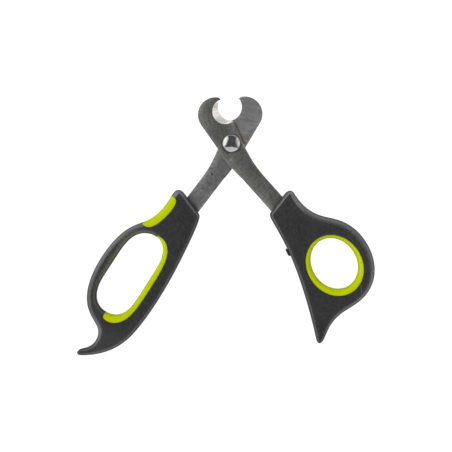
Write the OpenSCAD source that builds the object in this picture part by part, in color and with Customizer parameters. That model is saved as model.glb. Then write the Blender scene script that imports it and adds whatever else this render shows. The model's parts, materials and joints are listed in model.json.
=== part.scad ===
// Scissor nail clipper for small pets: two notched blades on one rivet, in moulded handles
// with soft grips. It lies flat with its jaws towards +Y; the back of the handles is at z = 0.
// Each arm is drawn closed, with the pivot at the origin and its handle along -Y.

/* [Arms] */
// Angle between the two arms as the clipper lies, degrees
rest_opening = 50; // [20:1:80]
// Thickness of both handles
handle_t = 9; // [8.5:0.5:12]

/* [Blades] */
// Thickness of the blade steel
blade_t = 2; // [1.5:0.1:2.2]
// Gap between the two blades
blade_gap = 0.06; // [0.04:0.01:0.2]
// Radius of the round back of the jaw
jaw_r = 7.9; // [7.6:0.1:8.2]
// Radius of the notch at its cutting edge
notch_r = 6.2; // [5.8:0.1:6.4]
// Width of the tang inside the handle
tang_w = 6; // [5:0.5:7]
// Radius of the two keying holes in the tang
tang_hole_r = 1.5; // [1:0.1:2]

/* [Pivot] */
// Diameter of the domed rivet head
rivet_head_d = 8; // [7.6:0.1:9]
// Height of the domed rivet head, with its rim
rivet_head_h = 1.7; // [1.5:0.1:2.3]
// Height of the straight rim under the dome
rivet_rim_h = 0.5; // [0.2:0.1:0.6]
// Radius of the rivet shank, a press fit in the back blade
shank_r = 2.4; // [2:0.1:2.8]
// Radial clearance of the turning front blade on the shank
running_gap = 0.05; // [0.02:0.01:0.1]
// Radius of the shank's thinner end, which holds the cap
tenon_r = 1.5; // [1:0.1:1.8]
// Diameter of the rear cap
cap_d = 7; // [6:0.1:8]
// Height of the rear cap
cap_h = 1.3; // [1:0.1:1.8]
// Thickness of the spring washer
washer_t = 0.3; // [0.2:0.05:0.5]
// Diameter of the spring washer
washer_d = 8.4; // [8:0.1:9.5]

/* [Handles] */
// Height of the rounded bevel along the handle edges
bevel_h = 2.2; // [1.5:0.1:2.5]
// Depth of the recess round the blade in the collar
socket_depth = 1.5; // [1:0.1:3]
// Clearance round the blade in that recess
socket_gap = 0.4; // [0.2:0.1:0.6]

/* [Grips] */
// Thickness of the hard rib that the soft grips are moulded over
rib_t = 3; // [2:0.5:4]
// Thickness of the soft grip over that rib
grip_skin = 1.2; // [0.8:0.1:1.4]

/* [Bumper] */
// Diameter of the rubber stop
bumper_d = 3.8; // [3:0.1:4.5]
// How far the stop stands out of the handle
bumper_proud = 0.95; // [0.5:0.05:1]
// Radius of the stop's stem
bumper_stem_r = 1.2; // [0.8:0.1:1.4]
// Depth of the hole for that stem
bumper_stem_l = 4.5; // [3:0.5:6]

/* [Hidden] */

// The pivot's place in the frame: the origin is below the middle of the whole clipper
pivot_x = 5.5;
pivot_y = 36;
// Heights of the faces, from the table up
mid_z = handle_t / 2;
front_blade_z = mid_z + blade_gap / 2;
back_blade_z = mid_z - blade_gap / 2 - blade_t;
washer_z = back_blade_z - washer_t;
cap_z = washer_z - cap_h;
// Clearance under the rivet's head, and the rounded foot of its rear cap
head_lift = 0.03;
cap_foot = 0.9;
cap_foot_rise = 0.3;
// Extra length of every cut, so that it passes through the faces, and the lap of the edge cuts
// past the walls, in bevel widths
over = 1;
edge_lap = 0.02;
round_fn = 96;

// Jaw of the front blade
jaw_pos = [-0.5, 14.7];
jaw_tip = [4.5, 20.6];
// The hook ends in a short slant from its tip towards this point, inside the notch
tip_slant = [5.2, 18.9];
notch_corner = [5.3, 8.3];
// The notch at the shearing face, and where its bevel meets the outer face
notch_pos = [7.75, 14.6];
notch_face_pos = [4, 14.1];
notch_face_r = notch_r - 0.5;
// Arm of the front blade: its axis leans away from the other arm below the bend
arm_end = [5.2, -31.5];
arm_dir = [0.26, -1] / norm([0.26, -1]);
arm_w = 8.1;
// Along the arm from there: the shoulders of the tang, its end, its holes, and the collar's face
// at the arm's inner and outer edge
shoulder = 5;
tang_l = 17.5;
tang_holes = [8, 13.5];
collar_at = [3.1, 1.7];
// How far outside the collar the recess round the blade starts
socket_start = -8;
// Place of the stop on the thumb handle's inner edge
bumper_pos = [0.65, -55.3];

// Control points of the closed outlines, counter-clockwise: x, y and the width of the edge bevel
THUMB_OUTLINE = [
    [15, -36, 2.3], [15, -31.5, 2], [13, -30.4, 1.6], [10.5, -31.4, 1.5], [2.5, -35.2, 1.5],
    [0.5, -36.3, 1], [0.4, -39, 1], [0.8, -46, 1], [0.9, -54, 1], [0.3, -62, 1.1],
    [-0.8, -70.5, 1.1], [-2.4, -79.5, 1.1], [-4.2, -88, 1], [-5.8, -94.5, 0.9],
    [-6.9, -98, 0.8], [-5, -98.6, 0.8], [-2.5, -97, 1], [1.5, -93.3, 1.2], [8.5, -90.2, 1.3],
    [18.5, -90.3, 1.5], [26.8, -86.8, 1.8], [32.3, -79.8, 2.2], [34.3, -70.5, 2.4],
    [32.8, -60.6, 2.6], [28.2, -53, 2.6], [21.4, -48.2, 2.5], [17, -42.7, 2.4]];
FINGER_OUTLINE = [
    [-9.5, -29.8, 1.5], [-12.5, -27.8, 1.7], [-15.3, -29, 2], [-15.7, -33, 2], [-17, -39.5, 2],
    [-20.3, -46.3, 2], [-26.8, -51, 2], [-31.5, -59, 1.9], [-34.4, -70, 1.8], [-35.3, -81, 1.7],
    [-33.2, -90.7, 1.7], [-28, -96.5, 1.8], [-22, -100, 1.8], [-21.4, -105.9, 1.5],
    [-24.2, -110.4, 1], [-27.9, -112, 0.8], [-27.5, -114.9, 0.8], [-24.6, -113.9, 1],
    [-18.9, -111, 1.2], [-13.1, -106.3, 1.2], [-8.3, -99.3, 1.2], [-5.5, -90, 1.2],
    [-3.5, -81, 1.2], [-2.1, -72, 1.1], [-1, -62.5, 1.1], [-0.4, -53.5, 1], [0.1, -44, 1],
    [0, -37.5, 0.9], [-0.5, -35.2, 1], [-2.5, -34, 1.5]];
// The finger loop's opening
LOOP_OUTLINE = [
    [-23, -53.2, 1.8], [-26.4, -58.5, 2.2], [-28, -66, 2.1], [-29.3, -74, 1.8], [-31, -82, 1.6],
    [-29, -89.8, 1.3], [-22, -92.9, 1.2], [-15, -90.5, 1.2], [-12.2, -83, 1.2], [-11, -75, 1.2],
    [-9.6, -67, 1.2], [-8.4, -59, 1.2], [-11, -52.8, 1], [-16.7, -50.9, 1.3]];
// Where the soft material is let into the finger handle
LOOP_GRIP_OUTLINE = [
    [-15.3, -53], [-15, -50.7], [-9.7, -51.5], [-6.2, -57.5], [-6.8, -66.5], [-8.3, -75],
    [-9.7, -83], [-12, -91], [-16.5, -95.2], [-21.7, -95.8], [-24, -93.5], [-21.3, -90],
    [-16, -85], [-14, -75], [-12, -65]];
INDEX_GRIP_OUTLINE = [
    [-17.5, -33.2], [-14.8, -31.7], [-12, -33.3], [-12.8, -38.5], [-15.3, -44.8], [-18.5, -49.3],
    [-22.6, -50], [-23.5, -47], [-21, -42]];

// Thumb ring: outer edge and hole, as ellipses
ring_pos = [16.2, -70.1];
ring_size = [12.45, 14.35];
ring_tilt = 8;
hole_pos = [16.6, -69.3];
hole_size = [10.1, 12];
hole_tilt = 8;
hole_edge = 1.6;

// Control points of an ellipse, steps along each stretch of an outline, and rings over each
// rounded edge
ellipse_n = 20;
steps = 4;
edge_rings = 3;
edge_turn = 65;

// Closed uniform cubic B-spline over control points p
function spline_at(p, i, t) = let (n = len(p))
    (pow(1 - t, 3) * p[(i + n - 1) % n] + (3 * pow(t, 3) - 6 * t * t + 4) * p[i]
     + (-3 * pow(t, 3) + 3 * t * t + 3 * t + 1) * p[(i + 1) % n] + pow(t, 3) * p[(i + 2) % n]) / 6;
function smooth(p) = [for (i = [0:len(p) - 1], k = [0:steps - 1]) spline_at(p, i, k / steps)];

function flat(p) = [for (q = p) [q.x, q.y]];
function unit(v) = v / norm(v);
function side_of(a, b) = let (d = unit([b.x - a.x, b.y - a.y])) [-d.y, d.x];

// Control point i moved to the left of the outline's run by w times its own bevel width
function moved(p, i, w) = let (n = len(p), before = side_of(p[(i + n - 1) % n], p[i]),
                               after = side_of(p[i], p[(i + 1) % n]))
    [p[i].x, p[i].y] + (before + after) / (1 + before * after) * w * p[i].z;
function inset(p, w) = [for (i = [0:len(p) - 1]) moved(p, i, w)];
function with_width(p, w) = [for (q = p) [q.x, q.y, w]];

// Ellipse of half widths s about c, turned by a, with the bevel width w. The control points lie
// a little outside it, because the smooth curve runs inside them.
function ellipse(c, s, a, w) = [for (i = [0:ellipse_n - 1])
    let (step = 360 / ellipse_n, u = i * step, k = 3 / (2 + cos(step)))
    [c.x + k * (s.x * cos(u) * cos(a) - s.y * sin(u) * sin(a)),
     c.y + k * (s.x * cos(u) * sin(a) + s.y * sin(u) * cos(a)), w]];
function arc(c, r, from, to, n) = [for (i = [0:n]) c + r * [cos(from + (to - from) * i / n),
                                                           sin(from + (to - from) * i / n)]];
// Quadratic bend from a to c, pulled towards b
function bend(a, b, c, n) = [for (i = [0:n]) let (t = i / n)
    (1 - t) * (1 - t) * a + 2 * t * (1 - t) * b + t * t * c];

// Section of the cut that rounds an edge at the upper face, as pairs of inset (in bevel widths)
// and height; point k of the rounding runs from the wall, 0, to the face, edge_rings
function edge_point(k) = let (a = edge_turn * k / edge_rings)
    [(1 - cos(a)) / (1 - cos(edge_turn)),
     handle_t - bevel_h * (1 - sin(a) / sin(edge_turn))];
function edge_section() = let (before = edge_point(edge_rings - 1), last = edge_point(edge_rings))
    concat([[-1, handle_t - bevel_h], [-1, handle_t + over], last + (last - before) / 2],
           [for (k = [edge_rings - 1:-1:1]) edge_point(k)],
           [[-edge_lap, handle_t - bevel_h]]);
// The same for the lower face, and for the rim of an opening
function lower(s) = [for (i = [len(s) - 1:-1:0]) [s[i][0], handle_t - s[i][1]]];
function inward(s) = [for (i = [len(s) - 1:-1:0]) [-s[i][0], s[i][1]]];

function ring_of(p, w, z) = [for (q = smooth(inset(p, w))) [q.x, q.y, z]];

// Closed band: a section carried round an outline
module band(p, section) {
    n = len(p) * steps;
    m = len(section);
    polyhedron(
        points = [for (s = section) each ring_of(p, s[0], s[1])],
        faces = [for (j = [0:m - 1], i = [0:n - 1])
            let (a = j * n + i, b = j * n + (i + 1) % n,
                 c = (j + 1) % m * n + i, d = (j + 1) % m * n + (i + 1) % n)
            each [[a, c, d], [a, d, b]]]);
}

// Plate with rounded edges, as thick as the handles
module rounded_plate(p) difference() {
    linear_extrude(handle_t) polygon(smooth(flat(p)));
    band(p, edge_section());
    band(p, lower(edge_section()));
}

// Opening with rounded rims, through the handles' whole thickness
module rounded_opening(p) {
    through(smooth(p));
    band(p, inward(edge_section()));
    band(p, lower(inward(edge_section())));
}

module through(p)
    translate([0, 0, -over]) linear_extrude(handle_t + 2 * over) polygon(flat(p));

module rib_slab(p)
    translate([0, 0, mid_z - rib_t / 2]) linear_extrude(rib_t) polygon(flat(p));

// Turns an arm from closed to its place: side is 1 for the thumb arm, -1 for the finger arm
module arm(side)
    translate([pivot_x, pivot_y, 0]) rotate(side * rest_opening / 2) children();

// The front blade lying on z = 0, shearing face down
function arm_point(along, across) = arm_end + along * arm_dir + across * [-arm_dir.y, arm_dir.x];
BLADE_OUTLINE = concat(
    bend(jaw_tip, [4.2, 21.2], jaw_pos + jaw_r * [cos(64), sin(64)], 4),
    arc(jaw_pos, jaw_r, 70, 188, 20),
    bend([-5.6, -6], [-5.1, -10.2], arm_point(-16.5, -arm_w / 2), 6),
    [arm_point(shoulder, -arm_w / 2), arm_point(shoulder, -tang_w / 2)],
    [arm_point(tang_l, -tang_w / 2), arm_point(tang_l, tang_w / 2)],
    [arm_point(shoulder, tang_w / 2), arm_point(shoulder, arm_w / 2)],
    bend(arm_point(-11.5, arm_w / 2), [4.4, -12], [4.7, -4.5], 6),
    [notch_corner, tip_slant]);

module blade_profile() {
    difference() {
        polygon(BLADE_OUTLINE);
        for (a = tang_holes)
            translate(arm_point(a, 0)) circle(r = tang_hole_r, $fn = round_fn);
    }
}

module blade(hole_r)
    difference() {
        linear_extrude(blade_t) blade_profile();
        // Notch, ground at a slant from the outer face to the cutting edge
        hull() {
            translate([notch_pos.x, notch_pos.y, -0.01])
                cylinder(h = 0.01, r = notch_r, $fn = round_fn);
            translate([notch_face_pos.x, notch_face_pos.y, blade_t])
                cylinder(h = 0.01, r = notch_face_r, $fn = round_fn);
        }
        translate([0, 0, -over]) cylinder(h = blade_t + 2 * over, r = hole_r, $fn = round_fn);
    }

module front_blade_solid() translate([0, 0, front_blade_z]) blade(shank_r + running_gap);

// The same stamping turned over
module back_blade_solid()
    translate([0, 0, back_blade_z + blade_t]) rotate([0, 180, 0]) blade(shank_r);

// Recess round a blade where it enters the collar, for the blade that lies at height z
module socket(z)
    translate([0, 0, z - socket_gap]) linear_extrude(blade_t + 2 * socket_gap)
        polygon([for (a = [[socket_start, -1], [collar_at[0] + socket_depth, -1],
                           [collar_at[1] + socket_depth, 1], [socket_start, 1]])
            arm_point(a[0], a[1] * (arm_w / 2 + socket_gap))]);

module front_blade() color("dimgray") arm(1) front_blade_solid();

module back_blade() color("gray") arm(-1) back_blade_solid();

// Domed head and shank, with a thinner end for the cap
module pivot_rivet() color("silver") translate([pivot_x, pivot_y, 0]) {
    head_z = front_blade_z + blade_t + head_lift;
    dome_h = rivet_head_h - rivet_rim_h;
    dome_r = (pow(rivet_head_d / 2, 2) + pow(dome_h, 2)) / (2 * dome_h);
    translate([0, 0, head_z]) intersection() {
        translate([0, 0, rivet_head_h - dome_r]) sphere(r = dome_r, $fn = round_fn);
        cylinder(h = rivet_head_h, r = rivet_head_d / 2, $fn = round_fn);
    }
    translate([0, 0, back_blade_z]) cylinder(h = head_z - back_blade_z, r = shank_r, $fn = round_fn);
    translate([0, 0, cap_z]) cylinder(h = back_blade_z - cap_z, r = tenon_r, $fn = round_fn);
}

module pivot_washer() color("lightgray") translate([pivot_x, pivot_y, washer_z])
    difference() {
        cylinder(h = washer_t, r = washer_d / 2, $fn = round_fn);
        translate([0, 0, -over]) cylinder(h = washer_t + 2 * over, r = tenon_r, $fn = round_fn);
    }

// Low turned cap behind the blades
module rivet_cap() color("silver") translate([pivot_x, pivot_y, cap_z])
    rotate_extrude($fn = round_fn)
        polygon([[tenon_r, 0], [cap_d / 2 - cap_foot, 0], [cap_d / 2 - cap_foot / 3, cap_h * cap_foot_rise],
                 [cap_d / 2, cap_h], [tenon_r, cap_h]]);

module finger_body() difference() {
    rounded_plate(FINGER_OUTLINE);
    rounded_opening(LOOP_OUTLINE);
}

// Soft lining of the loop, over a hard rib that stops short of its surface
module loop_grip_region() difference() {
    through(smooth(LOOP_GRIP_OUTLINE));
    difference() {
        rib_slab(smooth(LOOP_GRIP_OUTLINE));
        through(smooth(inset(with_width(LOOP_OUTLINE, grip_skin), -1)));
    }
}

// Soft pad on the outer edge below the collar
module index_grip_region() difference() {
    through(smooth(INDEX_GRIP_OUTLINE));
    rib_slab(smooth(inset(with_width(FINGER_OUTLINE, grip_skin), 1)));
}

module finger_handle() color("darkslategray") arm(-1) difference() {
    finger_body();
    loop_grip_region();
    index_grip_region();
    back_blade_solid();
    mirror([1, 0, 0]) socket(back_blade_z);
}

module finger_loop_grip() color("yellowgreen") arm(-1) intersection() {
    finger_body();
    loop_grip_region();
}

module index_rest_grip() color("yellowgreen") arm(-1) intersection() {
    finger_body();
    index_grip_region();
}

module thumb_body() difference() {
    rounded_plate(THUMB_OUTLINE);
    rounded_opening(ellipse(hole_pos, hole_size, hole_tilt, hole_edge));
}

module ring_region() difference() {
    through(smooth(ellipse(ring_pos, ring_size, ring_tilt, 0)));
    difference() {
        rib_slab(smooth(ellipse(ring_pos, ring_size, ring_tilt, 0)));
        through(smooth(ellipse(hole_pos, hole_size + [grip_skin, grip_skin], hole_tilt, 0)));
    }
}

// The stop's stem, in from the handle's inner edge
module bumper_stem()
    translate([bumper_pos.x, bumper_pos.y, mid_z]) rotate([0, 90, 0])
        cylinder(h = bumper_stem_l, r = bumper_stem_r, $fn = round_fn);

module thumb_handle() color("darkslategray") arm(1) difference() {
    thumb_body();
    ring_region();
    front_blade_solid();
    socket(front_blade_z);
    bumper_stem();
}

module thumb_ring_grip() color("yellowgreen") arm(1) intersection() {
    thumb_body();
    ring_region();
}

module stop_bumper() color("black") arm(1) {
    bumper_stem();
    translate([bumper_pos.x, bumper_pos.y, mid_z]) rotate([0, -90, 0]) rotate_extrude($fn = round_fn)
        polygon([[0, 0], [bumper_d / 2, 0], [bumper_d / 2, bumper_proud * 0.5],
                 [bumper_d / 2 - 0.5, bumper_proud], [0, bumper_proud]]);
}

front_blade();
back_blade();
pivot_rivet();
pivot_washer();
rivet_cap();
finger_handle();
thumb_handle();
finger_loop_grip();
index_rest_grip();
thumb_ring_grip();
stop_bumper();
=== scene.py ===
"""Scissor nail clipper for small pets, lying slightly open on a pale floor and seen from above.

The plastic handles and their soft grips are rebuilt from sections of the CAD nodes, as smooth
moulded bodies with rounded edges. The steel parts are the CAD shapes with softened edges.
"""

import json
import math

import bmesh
import bpy
import numpy as np
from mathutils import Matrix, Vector
from mathutils.geometry import delaunay_2d_cdt


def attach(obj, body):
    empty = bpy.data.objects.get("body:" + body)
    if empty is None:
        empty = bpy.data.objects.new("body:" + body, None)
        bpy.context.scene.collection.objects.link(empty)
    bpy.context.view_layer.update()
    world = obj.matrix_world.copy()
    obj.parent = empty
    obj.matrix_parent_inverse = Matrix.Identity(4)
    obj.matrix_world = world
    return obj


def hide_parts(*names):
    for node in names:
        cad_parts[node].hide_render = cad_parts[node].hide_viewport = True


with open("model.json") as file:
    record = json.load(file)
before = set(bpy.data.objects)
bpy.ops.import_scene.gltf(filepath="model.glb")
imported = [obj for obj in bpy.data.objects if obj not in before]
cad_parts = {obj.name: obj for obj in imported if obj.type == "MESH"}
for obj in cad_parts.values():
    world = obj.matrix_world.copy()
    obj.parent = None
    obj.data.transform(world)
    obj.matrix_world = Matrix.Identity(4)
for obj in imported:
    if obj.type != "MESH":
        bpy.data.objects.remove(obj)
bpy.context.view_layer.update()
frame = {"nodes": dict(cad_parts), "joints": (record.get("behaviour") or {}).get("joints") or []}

MM = 0.001

# Heights of the two handles and their bevels, in millimetres, and how far a CAD bevel turns down
HANDLE_T = 9.0
BEVEL_H = 2.2
BEVEL_TURN = math.radians(65)
# Heights at which a section shows an arm's plain walls, clear of ribs and pockets, and the depth
# below a face at which it shows the face itself
SECTION_Z = {"finger": 6.5, "thumb": 2.5}
FACE_SKIN = 0.02
# How far each arm is turned from closed, which way, and the pivot that it turns about
HALF_OPENING = math.radians(25)
SIDE = {"finger": -1, "thumb": 1}
PIVOT = Vector(frame["joints"][0]["pos_m"]) / MM


# ---------------------------------------------------------------- sections of the CAD nodes

# Points that agree to so many decimals are one point; and a section keeps only the points that lie
# at least so far off their neighbours' line and away from the last point
POINT_DECIMALS = 4
LEAST_OFF = 3e-4
LEAST_APART = 2e-3


def crossings(name, z):
    """Segments in which the plane at height z cuts a CAD node, as pairs of edge keys and points."""
    mesh = frame["nodes"][name].data
    mesh.calc_loop_triangles()
    co = np.array([v.co for v in mesh.vertices]) / MM
    ids = {}
    place = [ids.setdefault(tuple(np.round(p, POINT_DECIMALS)), len(ids)) for p in co]
    cuts, points = [], {}
    for triangle in mesh.loop_triangles:
        keys = []
        for a, b in ((0, 1), (1, 2), (2, 0)):
            i, j = triangle.vertices[a], triangle.vertices[b]
            if (co[i][2] > z) != (co[j][2] > z):
                s = (z - co[i][2]) / (co[j][2] - co[i][2])
                key = tuple(sorted((place[i], place[j])))
                points[key] = (co[i] + s * (co[j] - co[i]))[:2]
                keys.append(key)
        if len(keys) == 2 and keys[0] != keys[1]:
            cuts.append(keys)
    return cuts, points


def section(name, z):
    """Closed loops, counter-clockwise outside and clockwise round holes, of a node at height z."""
    cuts, points = crossings(name, z)
    beside = {}
    for a, b in cuts:
        beside.setdefault(a, []).append(b)
        beside.setdefault(b, []).append(a)
    loops = []
    while beside:
        start = next(iter(beside))
        loop, here = [start], start
        while True:
            onward = [k for k in beside[here] if len(loop) < 2 or k != loop[-2]]
            nearer = [k for k in onward if k == start and len(loop) > 2]
            here = (nearer or onward)[0]
            if here == start:
                break
            loop.append(here)
        for key in loop:
            beside.pop(key, None)
        loops.append(without_flat(np.array([points[k] for k in loop])))
    loops.sort(key=lambda p: -abs(area(p)))
    return [p if (area(p) > 0) == (i == 0) else p[::-1] for i, p in enumerate(loops)]


def area(p):
    """Area inside a loop, negative if the loop runs clockwise."""
    q = np.roll(p, -1, axis=0)
    return float(np.sum(p[:, 0] * q[:, 1] - p[:, 1] * q[:, 0])) / 2


def without_flat(p):
    """The loop without points that lie on the straight line between their neighbours."""
    keep = []
    for i, q in enumerate(p):
        a = keep[-1] if keep else p[-1]
        b = p[(i + 1) % len(p)]
        d = b - a
        off = abs(d[0] * (q - a)[1] - d[1] * (q - a)[0]) / max(np.hypot(*d), 1e-9)
        if off > LEAST_OFF and np.hypot(*(q - a)) > LEAST_APART:
            keep.append(q)
    return np.array(keep)


# ---------------------------------------------------------------- smooth outlines

# Outlines turn a corner where they turn by more than this, and run on as smooth curves elsewhere,
# each drawn through so many points and then evenly spaced
CORNER = math.radians(35)
CURVE_STEPS = 12
OUTLINE_STEP = 0.45
# Outline points this near to another piece lie on the seam with it
SEAM_NEAR = 0.05
# The least and greatest width that a bevel can have
BEVEL_WIDTHS = (0.4, 3)
# Points that are measured at a time, to save memory, and the distance to nothing at all
BLOCK = 400
FAR = 1e3


def turning(p):
    """Angle by which the loop turns at each of its points."""
    before = p - np.roll(p, 1, axis=0)
    after = np.roll(p, -1, axis=0) - p
    cross = before[:, 0] * after[:, 1] - before[:, 1] * after[:, 0]
    return np.arctan2(cross, np.sum(before * after, axis=1))


def catmull_rom(p0, p1, p2, p3):
    """Points of the centripetal Catmull-Rom curve from p1 up to p2."""
    k0, k1, k2 = (max(math.sqrt(np.hypot(*(b - a))), 1e-6)
                  for a, b in ((p0, p1), (p1, p2), (p2, p3)))
    m1 = (p2 - p1) + k1 * ((p1 - p0) / k0 - (p2 - p0) / (k0 + k1))
    m2 = (p2 - p1) + k1 * ((p3 - p2) / k2 - (p3 - p1) / (k1 + k2))
    t = np.arange(CURVE_STEPS)[:, None] / CURVE_STEPS
    return ((2 * t**3 - 3 * t**2 + 1) * p1 + (t**3 - 2 * t**2 + t) * m1
            + (3 * t**2 - 2 * t**3) * p2 + (t**3 - t**2) * m2)


def refined(p):
    """The loop as a smooth curve between its corners, at an even spacing."""
    n = len(p)
    corners = np.nonzero(np.abs(turning(p)) > CORNER)[0]
    if len(corners) == 0:
        curve = np.concatenate([catmull_rom(p[i - 1], p[i], p[(i + 1) % n], p[(i + 2) % n])
                                for i in range(n)])
        return even(np.vstack([curve, curve[:1]]))
    parts = []
    for a, b in zip(corners, np.append(corners[1:], corners[0] + n)):
        stretch = [p[i % n] for i in range(a, b + 1)]
        stretch = [2 * stretch[0] - stretch[1]] + stretch + [2 * stretch[-1] - stretch[-2]]
        curve = np.concatenate([catmull_rom(*stretch[i:i + 4]) for i in range(b - a)])
        parts.append(even(np.vstack([curve, stretch[-2]])))
    return np.concatenate(parts)


def even(curve):
    """An open curve at an even spacing near OUTLINE_STEP, without its last point."""
    run = np.concatenate([[0], np.cumsum(np.hypot(*np.diff(curve, axis=0).T))])
    count = max(2, round(run[-1] / OUTLINE_STEP))
    at = np.arange(count) / count * run[-1]
    return np.stack([np.interp(at, run, curve[:, k]) for k in (0, 1)], axis=1)


def normals(p):
    """Unit normals to the left of the loop's run, which is into the material."""
    d = np.roll(p, -1, axis=0) - p
    d /= np.maximum(np.hypot(d[:, 0], d[:, 1]), 1e-9)[:, None]
    n = np.stack([-d[:, 1], d[:, 0]], axis=1)
    n = n + np.roll(n, 1, axis=0)
    return n / np.maximum(np.hypot(n[:, 0], n[:, 1]), 1e-9)[:, None]


def distances(q, a, b, wa=None, wb=None):
    """Least distance of each point q to the segments a-b, each over its own width if given."""
    out = np.full(len(q), FAR)
    if len(a) == 0:
        return out
    d = b - a
    length = np.maximum(np.sum(d * d, axis=1), 1e-12)
    for k in range(0, len(q), BLOCK):
        v = q[k:k + BLOCK, None, :] - a[None]
        t = np.clip(np.sum(v * d, axis=2) / length, 0, 1)
        r = np.hypot(*np.moveaxis(v - t[..., None] * d, 2, 0))
        if wa is not None:
            r = r / (wa + t * (wb - wa))
        out[k:k + BLOCK] = r.min(axis=1)
    return out


def edges_of(loops):
    """Start and end points of all the segments of some loops."""
    return np.concatenate(loops), np.concatenate([np.roll(p, -1, axis=0) for p in loops])


def inside(q, loops):
    """Whether each point q is inside the outline and outside its holes."""
    a, b = edges_of(loops)
    result = np.zeros(len(q), bool)
    for k in range(0, len(q), BLOCK):
        y = q[k:k + BLOCK, 1, None]
        up = (a[:, 1] > y) != (b[:, 1] > y)
        rise = np.where(np.abs(b[:, 1] - a[:, 1]) < 1e-12, 1e-12, b[:, 1] - a[:, 1])
        x = a[:, 0] + (y - a[:, 1]) / rise * (b[:, 0] - a[:, 0])
        result[k:k + BLOCK] = (up & (q[k:k + BLOCK, 0, None] < x)).sum(axis=1) % 2 == 1
    return result


class Arm:
    """The outlines that one arm's plastic and soft pieces share, and the widths of their bevels."""

    def __init__(self, name, pieces):
        z = SECTION_Z[name]
        raw = {piece: section(piece, z) for piece in pieces}
        self.loops = {piece: [refined(p) for p in raw[piece]] for piece in pieces}
        near_face = HANDLE_T - FACE_SKIN if z > HANDLE_T / 2 else FACE_SKIN
        face = edges_of([p for piece in pieces for p in section(piece, near_face)])
        turn = math.asin((1 - FACE_SKIN / BEVEL_H) * math.sin(BEVEL_TURN))
        share = (1 - math.cos(turn)) / (1 - math.cos(BEVEL_TURN))
        self.free, self.width = {}, {}
        a, b, wa, wb = [], [], [], []
        for piece in pieces:
            others = [p for other in pieces if other != piece for p in raw[other]]
            beside = edges_of(others)
            self.free[piece], self.width[piece] = [], []
            for p in self.loops[piece]:
                free = distances(p, *beside) > SEAM_NEAR
                w = np.clip(distances(p, *face) / share, *BEVEL_WIDTHS)
                w = sum(np.roll(w, k) for k in (-2, -1, 0, 1, 2)) / 5
                self.free[piece].append(free)
                self.width[piece].append(w)
                on = free | np.roll(free, -1)
                a.append(p[on])
                b.append(np.roll(p, -1, axis=0)[on])
                wa.append(w[on])
                wb.append(np.roll(w, -1)[on])
        self.edge = [np.concatenate(x) for x in (a, b, wa, wb)]

    def inset(self, q):
        """How far points lie in from the nearest free edge, in widths of its bevel."""
        return distances(q, *self.edge)


# ---------------------------------------------------------------- moulded bodies

# How much higher a face is at its middle than at its crease, and how many bevel widths it takes to
# get most of the way there
CROWN = 0.12
CROWN_RUN = 3.5
# 1 would be a plain slope; more rounds it off towards its crease
BEVEL_ROUND = 1.32
# How many bevel widths a soft face takes to roll over its edge
SOFT_ROLL = 1.25
# Rounding along the seam between hard and soft material, which fades out near a free edge, and how
# far the soft material laps into the hard
HARD_SEAM = 0.14
SOFT_SEAM = 0.3
SEAM_FADE = 0.5
SEAM_LAP = 0.03
# Parting line round the walls
PARTING = 0.05
# Where the rings of points lie across a rounded edge, as shares of its width, and across a seam
HARD_RINGS = (0.06, 0.25, 0.5, 0.72, 0.86, 0.95, 1.0, 1.06, 1.2, 1.5)
SOFT_RINGS = (0.05, 0.15, 0.3, 0.48, 0.68, 0.88, 1.08)
SEAM_RINGS = (0.15, 0.5, 1.0, 1.9)
# Spacing of the grid between the rings, and how far it keeps from those of edges and seams
GRID_STEP = 0.9
GRID_FROM_EDGE = 0.25
GRID_FROM_SEAM = 0.3
# How much nearer to an edge or a seam than its ring a point may lie, and how near to the outline
RING_SLACK = 0.03
SEAM_SLACK = 0.02
LEAST_INSIDE = 0.03
# Surfaces are smooth where they turn by less than this, and creased elsewhere
CREASE = 40


def hard_height(t):
    """Height of a hard face, t bevel widths in from its edge: a slope that rounds off into the
    face at its crease, then a faint crown."""
    bevel = (BEVEL_H - CROWN) * (1 - np.clip(t, 0, 1)) ** BEVEL_ROUND
    return HANDLE_T - bevel - CROWN * np.exp(-np.clip(t - 1, 0, None) * 2 / CROWN_RUN)


def soft_height(t):
    """Height of a soft face, which rolls over its edge."""
    u = 1 - np.clip(t / SOFT_ROLL, 0, 1)
    return HANDLE_T - CROWN - (BEVEL_H - CROWN) * (1 - np.sqrt(np.clip(1 - u * u, 0, 1)))


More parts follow.
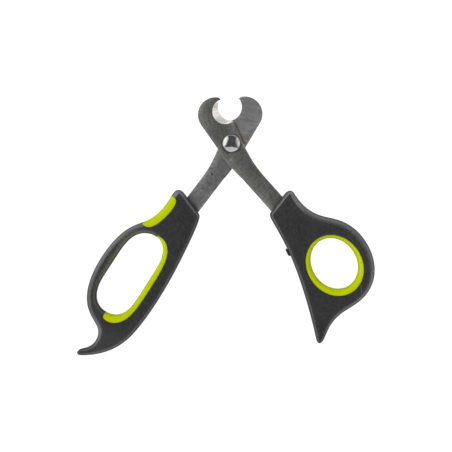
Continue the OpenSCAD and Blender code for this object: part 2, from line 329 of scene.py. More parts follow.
class Shell:
    """One moulded piece: two mirrored faces over a filled outline, joined by its walls."""

    def __init__(self, arm, piece, soft=False):
        self.arm, self.soft = arm, soft
        self.loops = arm.loops[piece]
        self.free, self.width = arm.free[piece], arm.width[piece]
        self.seam_r = SOFT_SEAM if soft else HARD_SEAM
        starts, ends = [], []
        for p, free in zip(self.loops, self.free):
            on = ~(free | np.roll(free, -1)) | ~free
            starts.append(p[on])
            ends.append(np.roll(p, -1, axis=0)[on])
        self.seam = np.concatenate(starts), np.concatenate(ends)

    def height(self, q):
        """Height of the upper face at points q, rounded off towards the seams."""
        t = self.arm.inset(q)
        z = (soft_height if self.soft else hard_height)(t)
        r = self.seam_r * np.clip(t / SEAM_FADE, 0, 1)
        u = 1 - np.clip(distances(q, *self.seam) / self.seam_r, 0, 1)
        return np.maximum(z - r * (1 - np.sqrt(1 - u * u)), HANDLE_T - BEVEL_H)

    def face_points(self):
        """Points inside the outline: rings along its edges, and a grid between them."""
        rings = SOFT_RINGS if self.soft else HARD_RINGS
        kept = []
        for p, free, width in zip(self.loops, self.free, self.width):
            n = normals(p)
            for share in rings:
                q = (p + n * (width * share)[:, None])[free]
                kept.append(q[self.arm.inset(q) > share - RING_SLACK])
            for share in SEAM_RINGS:
                q = (p + n * share * self.seam_r)[~free]
                if len(q):
                    ring = share * self.seam_r
                    kept.append(q[distances(q, *self.seam) > ring - SEAM_SLACK])
        kept.append(self.grid(rings[-1] + GRID_FROM_EDGE))
        q = np.concatenate(kept)
        q = q[inside(q, self.loops)]
        return q[distances(q, *edges_of(self.loops)) > LEAST_INSIDE]

    def grid(self, beyond):
        """An even grid of points, more than beyond bevel widths in from the free edges."""
        lo, hi = self.loops[0].min(axis=0), self.loops[0].max(axis=0)
        rows = np.arange(lo[1], hi[1], GRID_STEP * math.sqrt(3) / 2)
        columns = np.arange(lo[0], hi[0], GRID_STEP)
        q = np.array([(x + (j % 2) * GRID_STEP / 2, y)
                      for j, y in enumerate(rows) for x in columns])
        q = q[inside(q, self.loops)]
        q = q[self.arm.inset(q) > beyond]
        return q[distances(q, *self.seam) > self.seam_r * SEAM_RINGS[-1] + GRID_FROM_SEAM]

    def build(self, name):
        """The piece's mesh as a new object."""
        loops = self.loops
        count = sum(len(p) for p in loops)
        points = np.concatenate(loops + [self.face_points()])
        first = np.cumsum([0] + [len(p) for p in loops])
        rims = [(int(a + i), int(a + (i + 1) % (b - a)))
                for a, b in zip(first, first[1:]) for i in range(b - a)]
        corners = [Vector(p) for p in points]
        co, _, faces, _, _, _ = delaunay_2d_cdt(corners, rims, [], 0, 1e-6, False)
        co = np.array([tuple(v) for v in co])
        middles = np.array([co[list(f)].mean(axis=0) for f in faces])
        faces = [tuple(f) for f, within in zip(faces, inside(middles, loops)) if within]
        z = self.height(co)
        z[:count] = self.rim_height(z[:count])
        where = co.copy()
        where[:count] = self.lapped()
        top = [(x, y, h) for (x, y), h in zip(where, z)]
        bottom = [(x, y, HANDLE_T - h) for x, y, h in top]
        mesh = bmesh.new()
        upper = [mesh.verts.new([c * MM for c in v]) for v in top]
        lower = [mesh.verts.new([c * MM for c in v]) for v in bottom]
        for f in faces:
            mesh.faces.new([upper[i] for i in f])
            mesh.faces.new([lower[i] for i in reversed(f)])
        self.add_walls(mesh, upper, lower, first)
        piece = finished(mesh, name)
        self.mark(piece, co)
        return piece

    def mark(self, piece, co):
        """Notes on every point how far in from an edge and from a seam it lies. The walls' own
        points, three for each of the outline's, get 0."""
        pad = 3 * sum(len(p) for p in self.loops)
        for name, value in (("inset", self.arm.inset(co)), ("seam", distances(co, *self.seam))):
            values = np.concatenate([value, value, np.zeros(pad)]).astype(np.float32)
            layer = piece.data.attributes.new(name, "FLOAT", "POINT")
            layer.data.foreach_set("value", values)

    def rim_height(self, z):
        """Free edges start at the bevel's foot; seams start just under the face."""
        free = np.concatenate(self.free)
        return np.where(free, HANDLE_T - BEVEL_H, z)

    def lapped(self):
        """Rim points, with a soft piece let a hair's breadth into the hard one at the seam."""
        lap = SEAM_LAP if self.soft else 0
        return np.concatenate([p - normals(p) * lap * ~free[:, None]
                               for p, free in zip(self.loops, self.free)])

    def add_walls(self, mesh, upper, lower, first):
        """Walls from rim to rim, with a fine parting line at the middle of the free ones."""
        for k, (p, free) in enumerate(zip(self.loops, self.free)):
            inward = normals(p) * PARTING * MM
            columns = []
            for i in range(len(p)):
                a, b = upper[first[k] + i], lower[first[k] + i]
                middle = (a.co + b.co) / 2
                lip = Vector((0, 0, PARTING * MM))
                dent = Vector((*inward[i], 0)) if free[i] else Vector((0, 0, 0))
                columns.append([a, mesh.verts.new(middle + lip), mesh.verts.new(middle + dent),
                                mesh.verts.new(middle - lip), b])
            for i, here in enumerate(columns):
                there = columns[(i + 1) % len(columns)]
                for j in range(4):
                    mesh.faces.new([here[j], here[j + 1], there[j + 1], there[j]])


def finished(mesh, name, crease=CREASE):
    """A new object from a bmesh, smooth except where it turns by more than crease degrees."""
    bmesh.ops.recalc_face_normals(mesh, faces=mesh.faces)
    data = bpy.data.meshes.new(name)
    mesh.to_mesh(data)
    mesh.free()
    data.polygons.foreach_set("use_smooth", [True] * len(data.polygons))
    data.set_sharp_from_angle(angle=math.radians(crease))
    piece = bpy.data.objects.new(name, data)
    bpy.context.scene.collection.objects.link(piece)
    return piece


# ---------------------------------------------------------------- collars

# The front blade's arm, closed: the middle of its end, its direction and its width
ARM_END = Vector((5.2, -31.5))
ARM_DIR = Vector((0.26, -1)).normalized()
ARM_W = 8.1
# The recess round the arm: its clearance and its depth; and, measured along the arm from its end,
# where it starts outside the handle and where the slanted collar's two ends lie
SOCKET_GAP = 0.4
SOCKET_DEPTH = 1.5
SOCKET_START = -8
COLLAR_AT = (3.1, 1.7)
# Thickness of the blades, and the height of each arm's blade
BLADE_T = 2.0
BLADE_Z = {"finger": 2.47, "thumb": 4.53}


def placed(point, arm):
    """A point of the closed front blade's frame, in the row frame, on an arm's side."""
    way = SIDE[arm]
    x, y = point[0] * way, point[1]
    c, s = math.cos(HALF_OPENING * way), math.sin(HALF_OPENING * way)
    return Vector((PIVOT.x + x * c - y * s, PIVOT.y + x * s + y * c))


def arm_point(along, across):
    """A point of the closed front blade's frame, measured along and across its arm."""
    return ARM_END + along * ARM_DIR + across * Vector((-ARM_DIR.y, ARM_DIR.x))


def cut_socket(piece, arm):
    """Cuts the recess round the blade into the collar of a handle."""
    half = ARM_W / 2 + SOCKET_GAP
    inner, outer = (at + SOCKET_DEPTH for at in COLLAR_AT)
    corners = [placed(arm_point(along, across * half), arm) for along, across in
               ((SOCKET_START, -1), (inner, -1), (outer, 1), (SOCKET_START, 1))]
    low = BLADE_Z[arm] - SOCKET_GAP
    high = BLADE_Z[arm] + BLADE_T + SOCKET_GAP
    mesh = bmesh.new()
    rings = [[mesh.verts.new((p.x * MM, p.y * MM, z * MM)) for p in corners] for z in (low, high)]
    mesh.faces.new(rings[0])
    mesh.faces.new(rings[1])
    for i in range(4):
        j = (i + 1) % 4
        mesh.faces.new([rings[0][i], rings[0][j], rings[1][j], rings[1][i]])
    cutter = finished(mesh, "cutter")
    modifier = piece.modifiers.new("socket", "BOOLEAN")
    modifier.operation = "DIFFERENCE"
    modifier.object = cutter
    modifier.solver = "EXACT"
    apply_modifiers(piece)
    bpy.data.objects.remove(cutter)


def apply_modifiers(piece):
    """Makes a piece's modifiers part of its mesh."""
    graph = bpy.context.evaluated_depsgraph_get()
    data = bpy.data.meshes.new_from_object(piece.evaluated_get(graph))
    piece.modifiers.clear()
    piece.data = data
    data.polygons.foreach_set("use_smooth", [True] * len(data.polygons))
    data.set_sharp_from_angle(angle=math.radians(CREASE))


# ---------------------------------------------------------------- steel parts

# The straight inner edge of the front blade, closed, and its ground chamfer. An edge of the mesh
# belongs to it if it lies within these of the blade's face and of the line, and runs no further
# out than these before the line's start and past its end
INNER_EDGE = ((5.3, 8.3), (4.7, -4.5))
CHAMFER = 0.42
FACE_SLACK = 0.01
LINE_SLACK = 0.25
BEFORE_START = 0.1
PAST_END = 3
# Points of a CAD node that are this close are merged; faces that turn by less than the first angle
# become one face; edges that turn by more than the second are rounded; and the result is creased
# where it turns by more than so many degrees
MERGED = 0.004
FLAT = math.radians(0.8)
SHARP = math.radians(25)
STEEL_CREASE = 30


def on_inner_edge(edge):
    """Whether an edge of the front blade's outer face lies along its ground strip."""
    start, end = (placed(p, "thumb") for p in INNER_EDGE)
    way = (end - start).normalized()
    top = BLADE_Z["thumb"] + BLADE_T
    for v in edge.verts:
        away = Vector((v.co.x / MM - start.x, v.co.y / MM - start.y))
        if abs(v.co.z / MM - top) > FACE_SLACK or abs(way.cross(away)) > LINE_SLACK:
            return False
        if not -BEFORE_START < away.dot(way) < (end - start).length + PAST_END:
            return False
    return True


def softened(node, name, width):
    """A copy of a steel or rubber CAD node with its sharp edges rounded, each over a width."""
    mesh = bmesh.new()
    mesh.from_mesh(frame["nodes"][node].data)
    bmesh.ops.remove_doubles(mesh, verts=mesh.verts, dist=MERGED * MM)
    bmesh.ops.dissolve_limit(mesh, angle_limit=FLAT, verts=mesh.verts, edges=mesh.edges)
    if node == "front_blade":
        strip = [e for e in mesh.edges if on_inner_edge(e)]
        bmesh.ops.bevel(mesh, geom=strip, offset=CHAMFER * MM, segments=1, affect="EDGES")
    sharp = [e for e in mesh.edges if e.is_manifold and e.calc_face_angle(0) > SHARP]
    bmesh.ops.bevel(mesh, geom=sharp, offset=width * MM, segments=2, profile=0.5,
                    affect="EDGES", clamp_overlap=True, loop_slide=True)
    bmesh.ops.triangulate(mesh, faces=[f for f in mesh.faces if len(f.verts) > 4])
    return finished(mesh, name, STEEL_CREASE)


# ---------------------------------------------------------------- materials

# Noise hardly leaves the wide range, and it stays in the narrow one for about half of a surface
WIDE = (0.3, 0.7)
NARROW = (0.35, 0.65)


class Nodes:
    """A node tree under construction."""

    def __init__(self, tree):
        self.tree = tree

    def node(self, kind, inputs=None, **settings):
        node = self.tree.nodes.new(kind)
        for key, value in settings.items():
            setattr(node, key, value)
        for key, value in (inputs or {}).items():
            if isinstance(value, bpy.types.NodeSocket):
                self.tree.links.new(value, node.inputs[key])
            else:
                node.inputs[key].default_value = value
        return node

    def math(self, operation, a, b=None, scale=None):
        """A vector operation."""
        inputs = {0: a}
        if b is not None:
            inputs[1] = b
        if scale is not None:
            inputs["Scale"] = scale
        return self.node("ShaderNodeVectorMath", inputs, operation=operation).outputs[0]

    def dot(self, vector, way):
        """How far a vector goes in one direction."""
        inputs = {0: vector, 1: way}
        return self.node("ShaderNodeVectorMath", inputs, operation="DOT_PRODUCT").outputs["Value"]

    def calc(self, operation, a, b=0.0, clamp=False):
        """A number operation."""
        return self.node("ShaderNodeMath", {0: a, 1: b}, operation=operation,
                         use_clamp=clamp).outputs[0]

    def range(self, value, low, high, to_low=0.0, to_high=1.0):
        """Value from low to high, eased, as to_low to to_high."""
        return self.node("ShaderNodeMapRange",
                         {"Value": value, "From Min": low, "From Max": high, "To Min": to_low,
                          "To Max": to_high}, interpolation_type="SMOOTHSTEP").outputs["Result"]

    def between(self, value, rise, fall):
        """1 between two limits, each given as where the value sets in and where it is whole."""
        return self.calc("MULTIPLY", self.range(value, *rise), self.range(value, *fall))


class Look(Nodes):
    """A procedural material under construction. Distances in its textures are in millimetres."""

    def __init__(self, name, **sockets):
        self.material = bpy.data.materials.new(name)
        self.material.use_nodes = True
        super().__init__(self.material.node_tree)
        self.shader = self.tree.nodes["Principled BSDF"]
        for socket, value in sockets.items():
            self.shader.inputs[socket.replace("_", " ")].default_value = value
        place = self.node("ShaderNodeTexCoord").outputs["Object"]
        self.place = self.math("SCALE", place, scale=1 / MM)

    def noise(self, size, detail=3.0, stretch=None, turn=0.0, rough=0.55):
        """Noise from 0 to 1 with features of a size. It can be turned, and stretch draws it out
        along the axes for which its factor is small."""
        place = self.place
        if stretch is not None:
            place = self.node("ShaderNodeMapping", {"Vector": place, "Rotation": (0, 0, turn)},
                              vector_type="TEXTURE").outputs[0]
            place = self.math("MULTIPLY", place, stretch)
        inputs = {"Vector": place, "Scale": 1 / size, "Detail": detail, "Roughness": rough}
        return self.node("ShaderNodeTexNoise", inputs).outputs["Fac"]

    def mix(self, share, a, b):
        """Colour a changing to colour b as share goes from 0 to 1."""
        node = self.node("ShaderNodeMix", {"Factor": share}, data_type="RGBA")
        for key, value in (("A", a), ("B", b)):
            socket = [s for s in node.inputs if s.name == key and s.type == "RGBA"][0]
            if isinstance(value, bpy.types.NodeSocket):
                self.tree.links.new(value, socket)
            else:
                socket.default_value = (*value, 1)
        return [s for s in node.outputs if s.type == "RGBA"][0]

    def away(self, x, y):
        """Distance over the plane of the handles from a place in the row frame."""
        flat = self.math("MULTIPLY", self.math("SUBTRACT", self.place, (x, y, 0)), (1, 1, 0))
        return self.node("ShaderNodeVectorMath", {0: flat}, operation="LENGTH").outputs["Value"]

    def along(self, start, way):
        """How far the surface lies from a start in one direction."""
        return self.dot(self.math("SUBTRACT", self.place, start), way)

    def level(self):
        """1 where the surface lies flat, as the handles' faces do, and 0 where it is upright."""
        facing = self.node("ShaderNodeTexCoord").outputs["Normal"]
        return self.calc("ABSOLUTE", self.node("ShaderNodeSeparateXYZ", {0: facing}).outputs[2])

    def attribute(self, name):
        return self.node("ShaderNodeAttribute", attribute_name=name).outputs["Fac"]

    def finish(self, colour=None, roughness=None, heights=()):
        """Links colour, roughness and bumps, which are pairs of a height and its depth in mm."""
        if colour is not None:
            self.tree.links.new(colour, self.shader.inputs["Base Color"])
        if roughness is not None:
            self.tree.links.new(roughness, self.shader.inputs["Roughness"])
        normal = None
        for height, depth in heights:
            inputs = {"Height": height, "Distance": depth * MM, "Strength": 1.0}
            if normal is not None:
                inputs["Normal"] = normal
            normal = self.node("ShaderNodeBump", inputs).outputs["Normal"]
        if normal is not None:
            self.tree.links.new(normal, self.shader.inputs["Normal"])
        return self.material


# Where the collars end, by their distance from the pivot; the finger handle's tail, which has a
# painted sheen; the foot of its loop, where the painted sheen on the slopes is held back; and a
# scratch beside the thumb hole, all in the row frame
COLLAR_REACH = (50, 41)
TAIL = (-53, -54.5)
TAIL_REACH = (11, 5)
LOOP_FOOT = (-62.5, -31)
LOOP_FOOT_REACH = (6, 14)
SCRATCH = ((61.1, -29.5), (61.4, -34.9))
SCRATCH_W = 0.22
# How level the surface is on a slope, below and above, and on a wall
SLOPE = ((0.5, 0.66), (0.99, 0.9))
WALL = (0.6, 0.4)
# Insets: the rim with painted shade, the outer part of a slope with painted sheen, the crease with
# a painted highlight, below and above, and the shoulder of the face beyond it, painted lighter.
# Insets run from 0 at an edge to 1 at the crease of its bevel, and on over the face
RIM_INSET = (0.4, 0.0)
OUTER_INSET = (0.3, 0.95)
CREASE_INSET = ((0.62, 0.95), (1.16, 1.0))
SHOULDER = (2.3, 1.0)
# Looks of the plastic: its two tones, its mottling, the painted sheen on its tail and slopes, the
# painted highlight on its creases, the scratch, the painted shade on its rims, and how rough it is
CHARCOAL = ((0.01, 0.01, 0.0113), (0.018, 0.018, 0.0202))
MOTTLING = (0.035, 0.035, 0.037)
TAIL_SHEEN = (0.043, 0.043, 0.044)
SLOPE_SHEEN = (0.2, 0.196, 0.188)
CREASE_LIGHT = (0.12, 0.12, 0.122)
SCRATCHED = (0.2, 0.2, 0.2)
RIM_SHADE = (0.006, 0.006, 0.0065)
PLASTIC_ROUGH = (0.39, 0.47)


def handle_plastic():
    """Charcoal plastic, fine matte grain: painted sheen on slopes and creases, painted shade at
    rims.
    """
    look = Look("handle_plastic", Specular_IOR_Level=0.65)
    cloud = look.noise(13)
    mottle = look.noise(1.3, detail=4, rough=0.7)
    grain = look.noise(0.3, detail=2)
    inset = look.attribute("inset")
    level = look.level()
    colour = look.mix(look.range(cloud, *NARROW), *CHARCOAL)
    colour = look.mix(look.calc("MULTIPLY", look.range(mottle, 0.35, 0.7), 0.7), colour, MOTTLING)
    # Painted sheen: the face is paler towards the finger handle's tail
    tail = look.calc("MULTIPLY", look.range(look.away(*TAIL), *TAIL_REACH), 0.6)
    colour = look.mix(tail, colour, TAIL_SHEEN)
    # Painted sheen on the slopes of the collars and on the outer part of the bevels, held back at
    # the loop's foot
    slope = look.between(level, *SLOPE)
    collar = look.range(look.away(PIVOT.x, PIVOT.y), *COLLAR_REACH, 0.0, 0.85)
    outer = look.calc("MULTIPLY", look.range(inset, *OUTER_INSET, 0.74, 0.0),
                      look.range(look.away(*LOOP_FOOT), *LOOP_FOOT_REACH, 0.1, 1.0))
    slope_sheen = look.calc("MULTIPLY", slope, look.calc("MAXIMUM", collar, outer))
    slope_sheen = look.calc("MULTIPLY", slope_sheen, look.range(mottle, *NARROW, 0.6, 1.0))
    colour = look.mix(slope_sheen, colour, SLOPE_SHEEN)
    # Painted highlight along the crease of each bevel, and painted light fading over the face's
    # shoulder
    crease_light = look.range(mottle, 0.4, 0.6, 0.05, 0.3)
    crease_light = look.calc("MULTIPLY", look.between(inset, *CREASE_INSET), crease_light)
    crease_light = look.calc("ADD", crease_light, look.range(inset, *SHOULDER, 0.0, 0.09))
    colour = look.mix(crease_light, colour, CREASE_LIGHT)
    scratch = look.calc("MULTIPLY", stripe(look, *(Vector(p) for p in SCRATCH), SCRATCH_W), 0.5)
    colour = look.mix(scratch, colour, SCRATCHED)
    # Painted shade on the outer rim of each bevel
    colour = look.mix(look.range(inset, *RIM_INSET), colour, RIM_SHADE)
    roughness = look.calc("ADD", look.range(mottle, *WIDE, *PLASTIC_ROUGH),
                          look.range(level, *WALL, 0.0, 0.4))
    return look.finish(colour, roughness, ((grain, 0.02), (look.noise(1.1, detail=2), 0.016)))


# Looks of the grips: their two tones, dust, the painted shade at seams and rims, and how rough they
# are
LIME = ((0.52, 0.63, 0.001), (0.59, 0.706, 0.0012))
LIME_DUST = (0.66, 0.76, 0.04)
LIME_SHADE = (0.22, 0.27, 0.001)
GRIP_ROUGH = (0.46, 0.56)


def soft_grip():
    """Lime soft-touch elastomer: satin, faintly uneven, with painted shade at its seams and rims.
    """
    look = Look("soft_grip", Specular_IOR_Level=0.04)
    cloud = look.noise(6)
    dust = look.range(look.noise(0.8), 0.55, 0.75)
    colour = look.mix(cloud, *LIME)
    colour = look.mix(look.calc("MULTIPLY", dust, 0.1), colour, LIME_DUST)
    # Painted shade along the seams with the handle and round the free rims
    seam_shade = look.calc("MULTIPLY", look.range(look.attribute("seam"), 0.55, 0.0), 0.6)
    rim_shade = look.calc("MULTIPLY", look.range(look.attribute("inset"), 0.5, 0.0), 0.55)
    colour = look.mix(look.calc("ADD", seam_shade, rim_shade, clamp=True), colour, LIME_SHADE)
    roughness = look.range(look.noise(2.5), *WIDE, *GRIP_ROUGH)
    heights = (look.noise(0.25, detail=2), 0.01), (look.noise(2.2, detail=2), 0.03)
    return look.finish(colour, roughness, heights)


# The ground bevel round the front blade's notch, closed: its middle, how far it reaches, how level
# it is, its two tones, how rough it is, and how close its grinding lines are across and outwards
NOTCH_MID = (5.7, 14.35)
NOTCH_REACH = (8.0, 7.7)
GROUND_LEVEL = (0.97, 0.9)
GROUND = ((0.65, 0.64, 0.59), (0.94, 0.92, 0.855))
GROUND_ROUGH = (0.3, 0.42)
GRIND_ACROSS = 26.0
GRIND_OUTWARDS = 0.25
# Two tones of each blade's steel, how its brushing is turned, how rough the steel is, and the tone
# of stains, which also serves for painted shadow
FRONT_STEEL = ((0.2, 0.205, 0.185), (0.37, 0.375, 0.347))
FRONT_TURN = math.radians(-65)
BACK_STEEL = ((0.24, 0.24, 0.243), (0.388, 0.388, 0.393))
BACK_TURN = math.radians(-32)
STEEL_ROUGH = (0.38, 0.45)
STAIN_AND_SHADOW = (0.1, 0.09, 0.08)
# Marks on the front blade: a nick, in the row frame; painted highlights along its edges, closed;
# and a painted shadow round the rivet's head, deepest on one side
FRONT_NICK = (5.1, 28.5)
NICKED = (0.8, 0.8, 0.78)
OUTER_EDGE = ((-6.85, 1.0), (-5.1, -10.5))
EDGE_HIGHLIGHT = (0.75, 0.73, 0.68)
CHAMFER_TONE_AND_HIGHLIGHT = (0.47, 0.43, 0.385)
RING_REACH = (4.95, 4.15)
RING_SIDE = (-0.8, -0.6, 0)
# Marks on the back blade: its jaw, closed, paler ground steel with a painted sheen, and streaked; a
# stain and a dull patch, in the row frame; and a brown painted shadow along the front blade's inner
# edge, closed
JAW_MID = (-1.0, 12.0)
JAW_REACH = 17.0
JAW_GROUND_AND_SHEEN = (0.575, 0.573, 0.573)
STREAK = (0.78, 0.78, 0.78)
STREAK_TURN = math.radians(-14)
BACK_STAIN = (-3.8, 22.5)
BACK_DULL = (-0.4, 30.5)
DULL = (0.3, 0.285, 0.28)
EDGE_SHADOW_LINE = ((5.65, 8.5), (5.0, -4.0))
EDGE_SHADOW = (0.31, 0.262, 0.235)
# Over how much of its length a stripe sets in and ends
STRIPE_SETS_IN = 0.8
STRIPE_ENDS = 1.5


def notch_mask(look, arm):
    """1 on the ground bevel round a blade's notch, and the angle and distance from its middle."""
    middle = placed(NOTCH_MID, arm)
    reach = look.away(*middle)
    ground = look.calc("MULTIPLY", look.range(reach, *NOTCH_REACH),
                       look.range(look.level(), *GROUND_LEVEL))
    offset = look.math("SUBTRACT", look.place, (*middle, 0))
    x, y, _ = look.node("ShaderNodeSeparateXYZ", {0: offset}).outputs
    return ground, look.calc("ARCTAN2", y, x), reach


def grind_lines(look, angle, reach):
    """Fine lines that run outwards from the notch's middle."""
    across = look.calc("MULTIPLY", angle, GRIND_ACROSS)
    outwards = look.calc("MULTIPLY", reach, GRIND_OUTWARDS)
    place = look.node("ShaderNodeCombineXYZ", {0: across, 1: outwards}).outputs[0]
    inputs = {"Vector": place, "Scale": 1.0, "Detail": 3.0, "Roughness": 0.7}
    return look.node("ShaderNodeTexNoise", inputs).outputs["Fac"]


def spot(look, at, radius):
    """1 within a radius of a place given in the row frame, fading out at its ragged edge."""
    rag = look.calc("MULTIPLY", look.noise(0.5, detail=2), radius * 0.8)
    return look.range(look.calc("ADD", look.away(*at), rag), radius * 1.7, radius * 0.9)


def stripe(look, start, end, half):
    """1 on a line between two places of the row frame, fading out within half its width."""
    run = end - start
    way = run.normalized()
    along = look.along((*start, 0), (*way, 0))
    across = look.calc("ABSOLUTE", look.along((*start, 0), (-way.y, way.x, 0)))
    within = look.between(along, (0.0, STRIPE_SETS_IN), (run.length, run.length - STRIPE_ENDS))
    return look.calc("MULTIPLY", look.range(across, half, half * 0.3), within)


def tumbled_steel(name, arm, tones, mottle, turn, brush, marks):
    """Blade steel: mottled and tumbled, scored by grinding, ground bright round the notch. mottle
    is the size of its mottling and brush the share that its brushing has in its tone. marks gives
    the small stains and nicks that the blade has, and its painted shadows, highlights and sheen, as
    masks with their shares and colours."""
    look = Look(name, Metallic=1.0)
    cloud = look.noise(5.5, detail=4)
    fine = look.noise(mottle, detail=4, rough=0.7)
    thin = look.noise(0.3, stretch=(0.06, 1, 1), turn=turn, rough=0.7)
    broad = look.noise(1.5, detail=2, stretch=(0.12, 1, 1), turn=turn)
    lines = look.calc("ADD", look.calc("MULTIPLY", thin, 0.5), look.calc("MULTIPLY", broad, 0.5))
    pits = look.range(look.noise(0.45, detail=2), 0.66, 0.76)
    tone = look.calc("ADD", look.calc("MULTIPLY", cloud, 0.22),
                     look.calc("ADD", look.calc("MULTIPLY", fine, 0.78 - brush),
                               look.calc("MULTIPLY", lines, brush)))
    colour = look.mix(look.range(tone, 0.36, 0.64), *tones)
    colour = look.mix(look.calc("MULTIPLY", pits, 0.35), colour, tuple(c * 0.4 for c in tones[0]))
    for mask, share, tint in marks(look):
        colour = look.mix(look.calc("MULTIPLY", mask, share), colour, tint)
    ground, angle, reach = notch_mask(look, arm)
    grind = grind_lines(look, angle, reach)
    colour = look.mix(ground, colour, look.mix(look.range(grind, *NARROW), *GROUND))
    plain = look.range(fine, *WIDE, *STEEL_ROUGH)
    polished = look.range(grind, *WIDE, *GROUND_ROUGH)
    roughness = look.calc("ADD", look.calc("MULTIPLY", plain, look.calc("SUBTRACT", 1.0, ground)),
                          look.calc("MULTIPLY", polished, ground))
    relief = look.calc("MULTIPLY", grind, ground)
    heights = (look.noise(0.5), 0.012), (lines, 0.004 + 0.01 * brush), (relief, 0.02)
    return look.finish(colour, roughness, heights)


def front_marks(look):
    """Bright nick, painted shadow round the rivet, painted edge highlights, paler ground chamfer.
    """
    # Painted highlights along the edges: on the inner one over its paler ground chamfer, on the
    # outer one alone
    inner = stripe(look, *(placed(p, "thumb") for p in INNER_EDGE), 0.9)
    outer = stripe(look, *(placed(p, "thumb") for p in OUTER_EDGE), 0.4)
    # Painted shadow in a ring round the rivet's head, darkest on one side
    rivet_shadow = look.calc("MULTIPLY", look.range(look.away(PIVOT.x, PIVOT.y), *RING_REACH),
                     look.range(look.along(PIVOT, RING_SIDE), -1.0, 4.0, 0.3, 0.9))
    return [(spot(look, FRONT_NICK, 0.32), 0.7, NICKED), (rivet_shadow, 1.0, STAIN_AND_SHADOW), (outer, 0.6, EDGE_HIGHLIGHT),
            (inner, 0.6, CHAMFER_TONE_AND_HIGHLIGHT)]


def back_marks(look):
    """A jaw of paler ground steel with a painted sheen, a brown painted shadow along the front
    blade's edge, a small dark stain and a dull patch below the crossing."""
    # The jaw is paler ground steel with a painted sheen
    near = look.range(look.away(*placed(JAW_MID, "finger")), JAW_REACH, 0.6 * JAW_REACH)
    streaks = look.noise(1.1, stretch=(0.09, 1, 1), turn=STREAK_TURN, rough=0.7)
    streaks = look.range(streaks, 0.4, 0.6)
    # Painted shadow: a brown line beside the front blade's inner edge
    edge_shadow = stripe(look, *(placed(p, "thumb") for p in EDGE_SHADOW_LINE), 0.65)
    return [(near, 0.42, JAW_GROUND_AND_SHEEN), (look.calc("MULTIPLY", near, streaks), 0.3, STREAK),
            (edge_shadow, 0.85, EDGE_SHADOW), (spot(look, BACK_STAIN, 0.6), 0.8, STAIN_AND_SHADOW),
            (spot(look, BACK_DULL, 3.2), 0.55, DULL)]


# Two tones of the rivet, how rough it is, the side on which it has lost its shine, and its colour
# there
POLISHED = ((0.34, 0.34, 0.33), (0.49, 0.49, 0.475))
RIVET_ROUGH = (0.06, 0.15)
DULL_SIDE = (-0.92, 0.39, 0)
TARNISH = (0.265, 0.262, 0.242)
# Two tones of the rubber stop and of the floor, and how rough they are
RUBBER = ((0.008, 0.008, 0.0085), (0.022, 0.022, 0.023))
RUBBER_ROUGH = (0.6, 0.78)
FLOOR = ((0.2, 0.2, 0.2), (0.21, 0.21, 0.21))
FLOOR_ROUGH = (0.85, 0.95)
FLOOR_LIGHT = 0.97


def rivet_steel():
    """Polished rivet: bright, with hairline scratches and faint smears, duller on one side."""
    look = Look("rivet_steel", Metallic=1.0)
    smear = look.noise(1.4, detail=4, rough=0.65)
    scratch = look.noise(0.12, detail=2, stretch=(0.04, 1, 1), turn=0.6, rough=0.8)
    colour = look.mix(look.range(smear, *NARROW), *POLISHED)
    dull = look.calc("MULTIPLY", look.range(look.along(PIVOT, DULL_SIDE), 0.6, 2.0), 0.75)
    colour = look.mix(dull, colour, TARNISH)
    roughness = look.range(smear, 0.3, 0.75, *RIVET_ROUGH)
    return look.finish(colour, roughness, ((scratch, 0.0016), (look.noise(0.8, detail=2), 0.02)))


def stop_rubber():
    """Matt black rubber with a dusty bloom."""
    look = Look("stop_rubber", Specular_IOR_Level=0.35)
    bloom = look.noise(1.2, detail=4)
    roughness = look.range(bloom, *WIDE, *RUBBER_ROUGH)
    return look.finish(look.mix(bloom, *RUBBER), roughness, ((look.noise(0.2), 0.02),))


def floor_look():
    """Pale matt studio surface, softly lit from within like a light table."""
    look = Look("studio_floor", Specular_IOR_Level=0.1, Emission_Color=(1, 1, 1, 1),
                Emission_Strength=FLOOR_LIGHT)
    colour = look.mix(look.noise(30), *FLOOR)
    return look.finish(colour, look.range(look.noise(2, detail=2), *WIDE, *FLOOR_ROUGH))


# ---------------------------------------------------------------- assembly

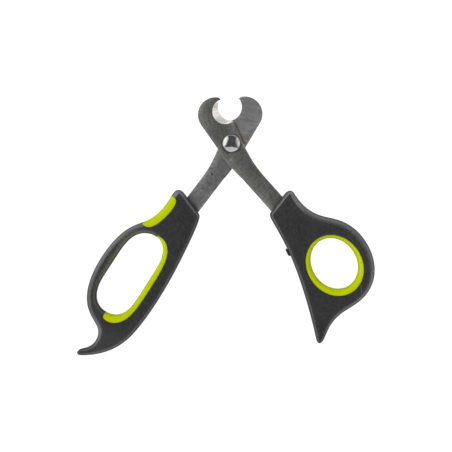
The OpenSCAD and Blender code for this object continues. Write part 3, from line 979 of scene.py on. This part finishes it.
def make_pieces():
    """All visible pieces, each riding on its arm in place of its CAD node."""
    arms = {"finger": Arm("finger", ["finger_handle", "finger_loop_grip", "index_rest_grip"]),
            "thumb": Arm("thumb", ["thumb_handle", "thumb_ring_grip"])}
    plastic, soft = handle_plastic(), soft_grip()
    for arm, node, name, is_soft in (
            ("finger", "finger_handle", "finger_handle_body", False),
            ("finger", "finger_loop_grip", "finger_loop_lining", True),
            ("finger", "index_rest_grip", "index_rest_pad", True),
            ("thumb", "thumb_handle", "thumb_handle_body", False),
            ("thumb", "thumb_ring_grip", "thumb_ring_cushion", True)):
        piece = Shell(arms[arm], node, is_soft).build(name)
        if is_soft:
            place_piece(piece, node, arm + "_arm", soft)
        else:
            cut_socket(piece, arm)
            place_piece(piece, node, arm + "_arm", plastic)
    front = tumbled_steel("front_steel", "thumb", FRONT_STEEL, mottle=0.8, turn=FRONT_TURN,
                          brush=0.15, marks=front_marks)
    back = tumbled_steel("back_steel", "finger", BACK_STEEL, mottle=1.3, turn=BACK_TURN,
                         brush=0.28, marks=back_marks)
    chrome, rubber = rivet_steel(), stop_rubber()
    for node, name, body, width, slot, material in (
            ("front_blade", "front_blade_steel", "thumb_arm", 0.2, "front_steel", front),
            ("back_blade", "back_blade_steel", "finger_arm", 0.14, "back_steel", back),
            ("pivot_rivet", "rivet_dome", "finger_arm", 0.12, "rivet_steel", chrome),
            ("pivot_washer", "spring_washer", "finger_arm", 0.05, "rivet_steel", chrome),
            ("rivet_cap", "rivet_rear_cap", "finger_arm", 0.1, "rivet_steel", chrome),
            ("stop_bumper", "rubber_stop", "thumb_arm", 0.15, "stop_rubber", rubber)):
        place_piece(softened(node, name, width), node, body, material)


def place_piece(piece, node, body, material):
    """A finished piece takes its material, replaces its CAD node and rides on its body."""
    piece.data.materials.clear()
    piece.data.materials.append(material)
    for polygon in piece.data.polygons:
        polygon.material_index = 0
    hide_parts(node)
    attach(piece, body)


# ---------------------------------------------------------------- studio

# The tent's panels: bearing in degrees, brightness, how far over towards that bearing, as a sine,
# the light sets in and is whole, and the cosines from the bearing where it sets in and is whole
TENT = {
    "left": (157, 2.85, 0.42, 0.70, 0.50, 0.90),
    "near": (264, 1.15, 0.37, 0.50, 0.0, 0.5),
    "right": (10, 1.2, 0.46, 0.84, 0.45, 0.9),
    "far": (76, 1.4, 0.72, 0.84, 0.0, 0.7)}
# The dark gap in the far wall: its bearing, its sides and the heights where it starts
GAP = (78, 0.76, 0.94)
GAP_FOOT = (0.34, 0.56)
# The walls grow dimmer towards the floor; above them the tent is open and dark
FOOT = (0.22, 0.46)
FOOT_LIGHT = 0.25
TENT_TOP = 0.14
# What the camera sees behind everything, which lights nothing
BACKDROP = 0.97
# The floor's size and the camera's clipping, in metres
FLOOR_SIZE = 2.0
CLIP = (0.01, 20)
# The camera's lens and sensor; and how wide the view is, at what height and where, and how it is
# turned
CAMERA_LENS = 150
SENSOR = 36
VIEW_WIDTH = 203.4
VIEW_Z = 6.5
VIEW_CENTRE = (1.67, -1.08)
VIEW_TURN = math.radians(-2.2)


def level_way(bearing):
    """The level direction at a bearing in degrees."""
    return math.cos(math.radians(bearing)), math.sin(math.radians(bearing)), 0


def make_world():
    """A soft light tent, brightest on the left and dark straight above, before a pale backdrop."""
    world = bpy.data.worlds.new("studio")
    bpy.context.scene.world = world
    world.use_nodes = True
    sky = Nodes(world.node_tree)
    place = sky.node("ShaderNodeTexCoord").outputs["Generated"]
    z = sky.node("ShaderNodeSeparateXYZ", {0: place}).outputs["Z"]
    level = sky.math("NORMALIZE", sky.math("MULTIPLY", place, (1, 1, 0)))
    walls = None
    for bearing, strength, over, full, starts, whole in TENT.values():
        way = level_way(bearing)
        wall = sky.calc("MULTIPLY", sky.range(sky.dot(place, way), over, full, 0, strength),
                        sky.range(sky.dot(level, way), starts, whole))
        walls = wall if walls is None else sky.calc("MAXIMUM", walls, wall)
    gap = sky.calc("MULTIPLY", sky.range(sky.dot(level, level_way(GAP[0])), *GAP[1:]),
                   sky.range(z, *GAP_FOOT))
    walls = sky.calc("MULTIPLY", walls, sky.calc("SUBTRACT", 1.0, gap))
    walls = sky.calc("MULTIPLY", walls, sky.range(z, *FOOT, FOOT_LIGHT, 1))
    light = sky.calc("ADD", walls, TENT_TOP)
    seen = sky.node("ShaderNodeLightPath").outputs["Is Camera Ray"]
    light = sky.node("ShaderNodeMix", {"Factor": seen, "A": light, "B": BACKDROP}).outputs[0]
    background = sky.tree.nodes["Background"]
    sky.tree.links.new(light, background.inputs["Strength"])
    background.inputs["Color"].default_value = (1, 1, 1, 1)


def make_floor():
    """The plain floor under the handles' back faces."""
    mesh = bmesh.new()
    bmesh.ops.create_grid(mesh, x_segments=8, y_segments=8, size=FLOOR_SIZE)
    floor = finished(mesh, "floor")
    floor.data.materials.append(floor_look())


def make_camera():
    """Straight down, at the distance from which the view is as wide as it should be."""
    data = bpy.data.cameras.new("camera")
    data.lens, data.sensor_width = CAMERA_LENS, SENSOR
    data.clip_start, data.clip_end = CLIP
    camera = bpy.data.objects.new("camera", data)
    bpy.context.scene.collection.objects.link(camera)
    height = VIEW_WIDTH * CAMERA_LENS / SENSOR + VIEW_Z
    camera.location = (VIEW_CENTRE[0] * MM, VIEW_CENTRE[1] * MM, height * MM)
    camera.rotation_euler = (0, 0, VIEW_TURN)
    bpy.context.scene.camera = camera


def write_size():
    """Brings the view layer up to date."""
    bpy.context.view_layer.update()


make_pieces()
make_world()
make_floor()
make_camera()
bpy.context.scene.view_settings.view_transform = "Standard"
write_size()
